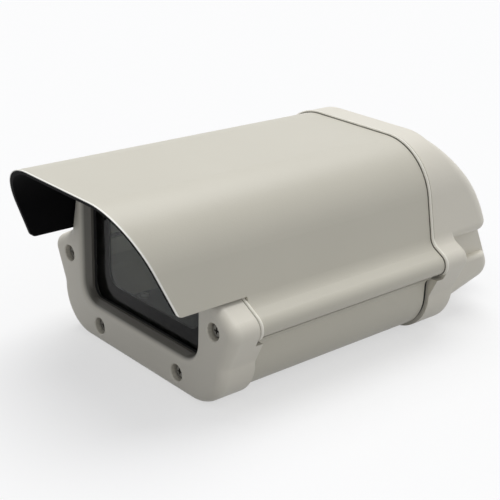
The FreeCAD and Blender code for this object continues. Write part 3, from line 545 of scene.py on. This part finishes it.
def pan_head(radius, height, recess):
    """Pan head with a cross recess, its seat at the origin."""
    edge = height * 0.45
    arc = [(radius - edge * (1 - math.sin(t)), height - edge * (1 - math.cos(t)))
           for t in (0.0, 0.26, 0.52, 0.79, 1.05, 1.31, math.pi / 2)]
    head = as_object(turned([(0.0, height)] + arc + [(radius, 0.0), (0.0, 0.0)]), "head")
    cutter = cross_cutter(radius * 0.62, recess, height * 0.62, height)
    for piece in (head, cutter):
        bpy.context.scene.collection.objects.link(piece)
    cut = head.modifiers.new("recess", "BOOLEAN")
    cut.object = cutter
    cut.solver = "EXACT"
    cut.use_self = True
    shape = bpy.data.meshes.new_from_object(head.evaluated_get(bpy.context.evaluated_depsgraph_get()))
    for piece in (head, cutter):
        bpy.data.objects.remove(piece)
    return in_scene("pan_head", shape)

# %% Thread tree
thread_tree, entry, leave = new_shape_tree("thread ridge", [
    ("Radius", "NodeSocketFloat"), ("Length", "NodeSocketFloat"), ("Pitch", "NodeSocketFloat"),
    ("Place", "NodeSocketVector"), ("Material", "NodeSocketMaterial")])
pitch = entry.outputs["Pitch"]
tooth = calc(thread_tree, "MULTIPLY", pitch, 0.5)
ridge_radius = calc(thread_tree, "SUBTRACT", entry.outputs["Radius"], tooth)
run = calc(thread_tree, "SUBTRACT", entry.outputs["Length"], pitch)
spiral = add(thread_tree, "GeometryNodeCurveSpiral", Resolution=24, Rotations=calc(thread_tree, "DIVIDE", run, pitch),
             Start_Radius=ridge_radius, End_Radius=ridge_radius, Height=run)
section = add(thread_tree, "GeometryNodeCurvePrimitiveCircle", Resolution=3, Radius=tooth)
ridge = add(thread_tree, "GeometryNodeCurveToMesh", Curve=spiral.outputs[0], Profile_Curve=section.outputs[0])
ridge.inputs["Fill Caps"].default_value = True
lift = add(thread_tree, "ShaderNodeCombineXYZ", Z=calc(thread_tree, "MULTIPLY", pitch, 0.5))
placed = add(thread_tree, "GeometryNodeTransform", Geometry=ridge.outputs[0],
             Translation=vector_math(thread_tree, "ADD", lift.outputs[0], entry.outputs["Place"]))
end_tree(thread_tree, join(thread_tree, entry.outputs[0], placed.outputs[0]), entry, leave)
print("tree", thread_tree.name)

# %% Screw tree
screw_tree, entry, leave = new_shape_tree("screws at places", [
    ("Head", "NodeSocketObject"), ("Thread Radius", "NodeSocketFloat"), ("Thread Length", "NodeSocketFloat"),
    ("Pitch", "NodeSocketFloat"), ("Turn", "NodeSocketVector"), ("Material", "NodeSocketMaterial")])
radius, length, pitch = (entry.outputs[n] for n in ("Thread Radius", "Thread Length", "Pitch"))
core_radius = calc(screw_tree, "SUBTRACT", radius, calc(screw_tree, "MULTIPLY", pitch, 0.55))
half_drop = add(screw_tree, "ShaderNodeCombineXYZ", Z=calc(screw_tree, "MULTIPLY", length, -0.5))
core = add(screw_tree, "GeometryNodeMeshCylinder", Vertices=24, Radius=core_radius, Depth=length)
low_core = add(screw_tree, "GeometryNodeTransform", Geometry=core.outputs[0], Translation=half_drop.outputs[0])
drop = add(screw_tree, "ShaderNodeCombineXYZ", Z=calc(screw_tree, "MULTIPLY", length, -1.0))
thread = screw_tree.nodes.new("GeometryNodeGroup")
thread.node_tree = thread_tree
for title, value in (("Geometry", low_core.outputs[0]), ("Radius", radius), ("Length", length), ("Pitch", pitch),
                     ("Place", drop.outputs[0]), ("Material", entry.outputs["Material"])):
    feed(screw_tree, thread.inputs[title], value)
head = add(screw_tree, "GeometryNodeObjectInfo", Object=entry.outputs["Head"])
one_screw = join(screw_tree, head.outputs["Geometry"], thread.outputs[0])
spread = add(screw_tree, "GeometryNodeInstanceOnPoints", Points=entry.outputs[0], Instance=one_screw,
             Rotation=entry.outputs["Turn"])
end_tree(screw_tree, spread.outputs[0], entry, leave)
print("tree", screw_tree.name)

# %% [markdown]
# Where each screw sits is already known: every screw of the construction model is a separate solid
# in its node. A merged copy of the node falls apart into its screws, and each one's box gives the
# seat: the middle across, and the height of the head along the screw.

# %% Seats of the screws
def loose_boxes(node):
    """Lowest and highest corner of each separate solid of a node."""
    mesh = bmesh.new()
    mesh.from_mesh(nodes[node].data)
    bmesh.ops.remove_doubles(mesh, verts=mesh.verts, dist=1e-6)
    left, boxes = set(mesh.verts), []
    while left:
        group, edge = set(), [left.pop()]
        while edge:
            corner = edge.pop()
            group.add(corner)
            fresh = [e.other_vert(corner) for e in corner.link_edges if e.other_vert(corner) in left]
            left.difference_update(fresh)
            edge.extend(fresh)
        places = [v.co for v in group]
        boxes.append([Vector(pick(p[i] for p in places) for i in range(3)) for pick in (min, max)])
    mesh.free()
    return boxes


def screws(node, axis, outward, metal, head_radius, head_height, thread_radius, pitch, recess):
    """Detailed screws at the places of a construction node; outward is the heads' side."""
    seats, thread_length = [], 0.0
    for low, high in loose_boxes(node):
        seat = (low + high) / 2
        top = high[axis] if outward > 0 else low[axis]
        seat[axis] = top - outward * head_height
        thread_length = high[axis] - low[axis] - head_height
        seats.append(tuple(seat))
    places = bpy.data.meshes.new(node + "_places")
    places.from_pydata(seats, [], [])
    turn = (0.0, 0.0, 0.0) if axis == ALONG_Z else (-outward * math.pi / 2, 0.0, 0.0)
    head = pan_head(head_radius, head_height, recess)
    made = grow(screw_tree, node + "_threaded", places, Head=head, Thread_Radius=thread_radius,
                Thread_Length=thread_length, Pitch=pitch, Turn=turn, Material=metal)
    bpy.data.objects.remove(head)
    stands_for(made, node, "housing")


M4_PAN = {"head_radius": 3.8 * MM, "head_height": 2.6 * MM, "thread_radius": 2 * MM,
          "pitch": 0.7 * MM, "recess": 1.1 * MM}
M3_PAN = {"head_radius": 2.75 * MM, "head_height": 1.8 * MM, "thread_radius": 1.5 * MM,
          "pitch": 0.5 * MM, "recess": 0.8 * MM}
ALONG_Y, ALONG_Z = 1, 2

screws("front_cap_screws", ALONG_Y, -1, dark_steel, **M4_PAN)
screws("rear_cap_screws", ALONG_Y, 1, dark_steel, **M4_PAN)
screws("retainer_screws", ALONG_Y, 1, steel, **M3_PAN)
screws("plate_screws", ALONG_Z, 1, steel, **M3_PAN)

# %% [markdown]
# Fingers turn the camera screw, so its rim is knurled. The knurl is a ring of thin rods set on the
# points of a circle. The same tree knurls the closing screws and ribs the cap nuts of the glands.

# %% Ring of ridges
ring_tree, entry, leave = new_shape_tree("ring of ridges", [
    ("Count", "NodeSocketInt"), ("Radius", "NodeSocketFloat"), ("Ridge Radius", "NodeSocketFloat"),
    ("Ridge Length", "NodeSocketFloat"), ("Tilt", "NodeSocketFloat"), ("Place", "NodeSocketVector"),
    ("Turn", "NodeSocketVector"), ("Material", "NodeSocketMaterial")])
circle = add(ring_tree, "GeometryNodeMeshCircle", Vertices=entry.outputs["Count"], Radius=entry.outputs["Radius"])
ridge = add(ring_tree, "GeometryNodeMeshCylinder", Vertices=8, Radius=entry.outputs["Ridge Radius"],
            Depth=entry.outputs["Ridge Length"])
where = add(ring_tree, "ShaderNodeSeparateXYZ", Vector=ring_tree.nodes.new("GeometryNodeInputPosition").outputs[0])
facing = calc(ring_tree, "ARCTAN2", where.outputs["Y"], where.outputs["X"])
lean = add(ring_tree, "ShaderNodeCombineXYZ", Y=entry.outputs["Tilt"], Z=facing)
ridges = add(ring_tree, "GeometryNodeInstanceOnPoints", Points=circle.outputs[0], Instance=ridge.outputs[0],
             Rotation=lean.outputs[0])
placed = add(ring_tree, "GeometryNodeTransform", Geometry=ridges.outputs[0], Translation=entry.outputs["Place"],
             Rotation=entry.outputs["Turn"])
end_tree(ring_tree, join(ring_tree, entry.outputs[0], placed.outputs[0]), entry, leave)
print("tree", ring_tree.name)


def merged_copy(node, bevel):
    """Mesh of a construction node with its triangles joined and its sharp edges softened."""
    mesh = bmesh.new()
    mesh.from_mesh(nodes[node].data)
    bmesh.ops.remove_doubles(mesh, verts=mesh.verts, dist=1e-6)
    bmesh.ops.dissolve_limit(mesh, angle_limit=0.02, verts=mesh.verts, edges=mesh.edges)
    made = as_object(mesh, node + "_copy")
    bpy.context.scene.collection.objects.link(made)
    soft = made.modifiers.new("edge", "BEVEL")
    soft.width = bevel
    soft.segments = 2
    soft.angle_limit = math.radians(35)
    shape = bpy.data.meshes.new_from_object(made.evaluated_get(bpy.context.evaluated_depsgraph_get()))
    bpy.data.objects.remove(made)
    return shape

# %% Knurled screws
def knurled_screw(node, count, ridge, ring_z, ring_length, thread_z, thread_radius, thread_length, pitch):
    """A construction screw with a knurl round its head and a thread round its shank."""
    low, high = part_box(node)
    x, y = (low.x + high.x) / 2, (low.y + high.y) / 2
    shape = merged_copy(node, 0.12 * MM)
    knurled = grow(ring_tree, node + "_knurled", shape, Count=count, Radius=high.x - x - ridge * 0.4,
                   Ridge_Radius=ridge, Ridge_Length=ring_length, Place=(x, y, ring_z), Material=steel)
    screw = grow(thread_tree, node + "_threaded", knurled.data, Radius=thread_radius, Length=thread_length,
                 Pitch=pitch, Place=(x, y, thread_z), Material=steel)
    bpy.data.objects.remove(knurled)
    stands_for(screw, node, node)


low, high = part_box("camera_screw")
knurled_screw("camera_screw", count=64, ridge=0.28 * MM, ring_z=low.z + 1.5 * MM, ring_length=1.9 * MM,
              thread_z=high.z - 5.9 * MM, thread_radius=3.32 * MM, thread_length=5.8 * MM, pitch=1.27 * MM)
for end in ("front", "rear"):
    low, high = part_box("closing_screw_" + end)
    knurled_screw("closing_screw_" + end, count=36, ridge=0.2 * MM, ring_z=high.z - 2.1 * MM,
                  ring_length=2.8 * MM, thread_z=low.z + 0.9 * MM, thread_radius=2.12 * MM,
                  thread_length=4.2 * MM, pitch=0.7 * MM)

# %% [markdown]
# A gland's cap nut has fine ribs on its round end, for wet fingers. They lean with the cone, so the
# ring tree tilts each rod towards the axis.

# %% Cap nuts of the glands
for side in ("left", "middle", "right"):
    node = "gland_nut_" + side
    low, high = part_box(node)
    x, z = (low.x + high.x) / 2, (low.z + high.z) / 2
    shape = merged_copy(node, 0.3 * MM)
    nut = grow(ring_tree, node + "_ribbed", shape, Count=20, Radius=8.0 * MM, Ridge_Radius=0.55 * MM,
               Ridge_Length=5.4 * MM, Tilt=-math.radians(27.3), Place=(x, high.y - 3.2 * MM, z),
               Turn=(-math.pi / 2, 0.0, 0.0), Material=nylon)
    stands_for(nut, node, "housing")

# %% [markdown]
# The end gaskets are squeezed out of their seams above the tray, and show there as a round cream
# bead: full round the ears, thinner over the dome and pointed where it ends. Round the ears it lies
# a little further back and leaves a dark gap in front. The bead follows the gasket's own outer
# edge, walked along from the ear on a merged copy. A tree spaces the points evenly, keeps those
# between two heights and sweeps the line with a circle.

# %% Bead tree
BEAD_END = 36.2 * MM
EAR_TOP, DOME_START = 53.5 * MM, 55.5 * MM

bead_tree, entry, leave = new_shape_tree("bead along an edge", [
    ("Bead Radius", "NodeSocketFloat"), ("High", "NodeSocketFloat"), ("Dome", "NodeSocketFloat"),
    ("Material", "NodeSocketMaterial")])


def height_here(tree):
    """Height of each point above the tray's underside."""
    where = tree.nodes.new("GeometryNodeInputPosition").outputs[0]
    return add(tree, "ShaderNodeSeparateXYZ", Vector=where).outputs["Z"]


whole = add(bead_tree, "GeometryNodeMeshToCurve", Mesh=entry.outputs[0])
even = add(bead_tree, "GeometryNodeResampleCurve", Curve=whole.outputs[0])
even.mode = "LENGTH"
even.inputs["Length"].default_value = 0.8 * MM
beaded = add(bead_tree, "GeometryNodeCurveToMesh", Curve=even.outputs[0])
below = calc(bead_tree, "LESS_THAN", height_here(bead_tree), BEAD_END)
above = calc(bead_tree, "GREATER_THAN", height_here(bead_tree), entry.outputs["High"])
kept = add(bead_tree, "GeometryNodeDeleteGeometry", Geometry=beaded.outputs[0],
           Selection=calc(bead_tree, "MAXIMUM", below, above))
path = add(bead_tree, "GeometryNodeMeshToCurve", Mesh=kept.outputs[0])
aside = ramp(bead_tree, height_here(bead_tree), EAR_TOP, DOME_START, 0.3 * MM, 0.1 * MM)
sideways = add(bead_tree, "ShaderNodeCombineXYZ", Y=aside)
moved = add(bead_tree, "GeometryNodeSetPosition", Geometry=path.outputs[0], Offset=sideways.outputs[0])
swell = ramp(bead_tree, height_here(bead_tree), BEAD_END, 39 * MM, 0.3, 1.0)
thin = ramp(bead_tree, height_here(bead_tree), EAR_TOP, DOME_START, 1.0, entry.outputs["Dome"])
section = add(bead_tree, "GeometryNodeCurvePrimitiveCircle", Resolution=12, Radius=entry.outputs["Bead Radius"])
bead = add(bead_tree, "GeometryNodeCurveToMesh", Curve=moved.outputs[0], Profile_Curve=section.outputs[0],
           Scale=calc(bead_tree, "MULTIPLY", swell, thin))
bead.inputs["Fill Caps"].default_value = True
smooth = add(bead_tree, "GeometryNodeSetShadeSmooth", Geometry=bead.outputs[0])
end_tree(bead_tree, smooth.outputs[0], entry, leave)
print("tree", bead_tree.name)

# %% Beads of the two end gaskets
GASKET_MIDDLE = 1.2 * MM
BEADS = (("front_gasket", -1, 54.5 * MM, 1.8 * MM), ("rear_gasket", 1, 1000 * MM, 2.0 * MM))


def outer_run(node, side, lowest):
    """Line along the outer edge of a gasket's face towards its cap, above a height."""
    mesh = bmesh.new()
    mesh.from_mesh(nodes[node].data)
    bmesh.ops.remove_doubles(mesh, verts=mesh.verts, dist=1e-6)
    low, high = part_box(node)
    plane = high.y if side > 0 else low.y
    rim = [e for e in mesh.edges if all(abs(v.co.y - plane) < 1e-6 for v in e.verts)
           and sorted(abs(f.normal.y) > 0.5 for f in e.link_faces) == [False, True]]
    links = {}
    for edge in rim:
        for corner in edge.verts:
            links.setdefault(corner, []).append(edge.other_vert(corner))
    start = max(links, key=lambda v: v.co.x)
    halves = []
    for here in links[start]:
        before, half = start, []
        while here.co.z > lowest:
            half.append(here)
            before, here = here, next(v for v in links[here] if v is not before)
        halves.append(half)
    middle = plane - side * GASKET_MIDDLE
    points = [(v.co.x, middle, v.co.z) for v in halves[0][::-1] + [start] + halves[1]]
    mesh.free()
    turn = sum(a[0] * b[2] - b[0] * a[2] for a, b in zip(points, points[1:] + points[:1]))
    if turn < 0:
        points.reverse()
    made = bpy.data.meshes.new(node + "_run")
    made.from_pydata(points, [(i, i + 1) for i in range(len(points) - 1)], [])
    return made


for node, side, high, thickness in BEADS:
    bead = grow(bead_tree, node + "_bead", outer_run(node, side, SEAM_STEP), Bead_Radius=thickness / 2,
                High=high, Dome=0.85, Material=bead_rubber_painted_lit)
    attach(bead, "housing")

# %% [markdown]
# The camera stands where the photograph was taken from: to the right of the front and a little
# above. Its place came from matching the screw wells and edges, and a small roll and shift set
# the framing.

# %% Camera
AZIMUTH, ELEVATION, ROLL = (math.radians(v) for v in (47.6, 22.0, 2.27))
CAMERA_PLACE = (0.4353, -0.3905, 0.2751)

away = math.cos(ELEVATION)
back = Vector((math.sin(AZIMUTH) * away, -math.cos(AZIMUTH) * away, math.sin(ELEVATION)))
level = Vector((math.cos(AZIMUTH), math.sin(AZIMUTH), 0))
upright = back.cross(level)
right = level * math.cos(ROLL) + upright * math.sin(ROLL)
up = upright * math.cos(ROLL) - level * math.sin(ROLL)
camera_data = bpy.data.cameras.new("camera")
camera_data.sensor_width = 36.0
camera_data.lens = 81.94
camera_data.shift_x = -0.04
camera_data.shift_y = 0.016
camera_data.clip_start = 0.01
camera = bpy.data.objects.new("camera", camera_data)
camera.matrix_world = Matrix.Translation(CAMERA_PLACE) @ Matrix((right, up, back)).transposed().to_4x4()
bpy.context.scene.collection.objects.link(camera)
bpy.context.scene.camera = camera
print("camera", [round(v, 3) for v in CAMERA_PLACE], "lens", round(camera_data.lens, 2))

# %% [markdown]
# A studio sweep lights a product from above with a large soft lamp, and lets the sides fall off.
# A sun with a wide angle is even over the floor, and the world adds a dim fill. The floor is pale,
# and white to the camera and in reflections, so it keeps the shadow without lighting the housing
# from below.

# %% Floor and light
def white_to_camera(tree, plain, seen):
    """Mix two values so that the camera, mirrors and glass get the second."""
    path = tree.nodes.new("ShaderNodeLightPath")
    direct = calc(tree, "MAXIMUM", path.outputs["Is Camera Ray"], path.outputs["Is Glossy Ray"])
    any_view = calc(tree, "MAXIMUM", direct, path.outputs["Is Transmission Ray"])
    return blend_colours(tree, any_view, plain, seen)


WHITE, BLACK = (1, 1, 1, 1), (0, 0, 0, 1)
FLOOR_TONE = (0.42, 0.42, 0.42, 1)
FILL_TONE = (0.38, 0.385, 0.40, 1)
LAMPS = (("overhead lamp", 1.75, 50.0, (-17.0, -13.0, 0.0)), ("side lamp", 0.35, 60.0, (0.0, 62.0, 0.0)))

floor_mesh = bpy.data.meshes.new("floor")
corners = [(x, y, cad_low.z) for x, y in ((-9, -9), (9, -9), (9, 9), (-9, 9))]
floor_mesh.from_pydata(corners, [], [(0, 1, 2, 3)])
floor = bpy.data.objects.new("floor", floor_mesh)
bpy.context.scene.collection.objects.link(floor)
floor_paint, tree, shader = new_material("pale floor")
feed(tree, shader.inputs["Base Color"], FLOOR_TONE)
feed(tree, shader.inputs["Emission Color"], white_to_camera(tree, BLACK, WHITE))
feed(tree, shader.inputs["Emission Strength"], 0.57)
feed(tree, shader.inputs["Roughness"], 0.9)
feed(tree, shader.inputs["Specular IOR Level"], 0.0)
floor_mesh.materials.append(floor_paint)
floor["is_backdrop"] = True

world = bpy.data.worlds.new("studio")
world.use_nodes = True
feed(world.node_tree, world.node_tree.nodes["Background"].inputs["Color"],
     white_to_camera(world.node_tree, FILL_TONE, WHITE))
bpy.context.scene.world = world

for title, energy, angle, turn in LAMPS:
    lamp_data = bpy.data.lights.new(title, "SUN")
    lamp_data.energy = energy
    lamp_data.angle = math.radians(angle)
    lamp = bpy.data.objects.new(title, lamp_data)
    lamp.rotation_euler = [math.radians(v) for v in turn]
    bpy.context.scene.collection.objects.link(lamp)
    print(title, energy)

bpy.context.scene.view_settings.view_transform = "Standard"

# %% [markdown]
# The dressed part must keep the size of the construction model, so both boxes are written down.

# %% Print the size of the dressed part
low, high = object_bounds()
print("dressed size", [round(v, 4) for v in high - low])
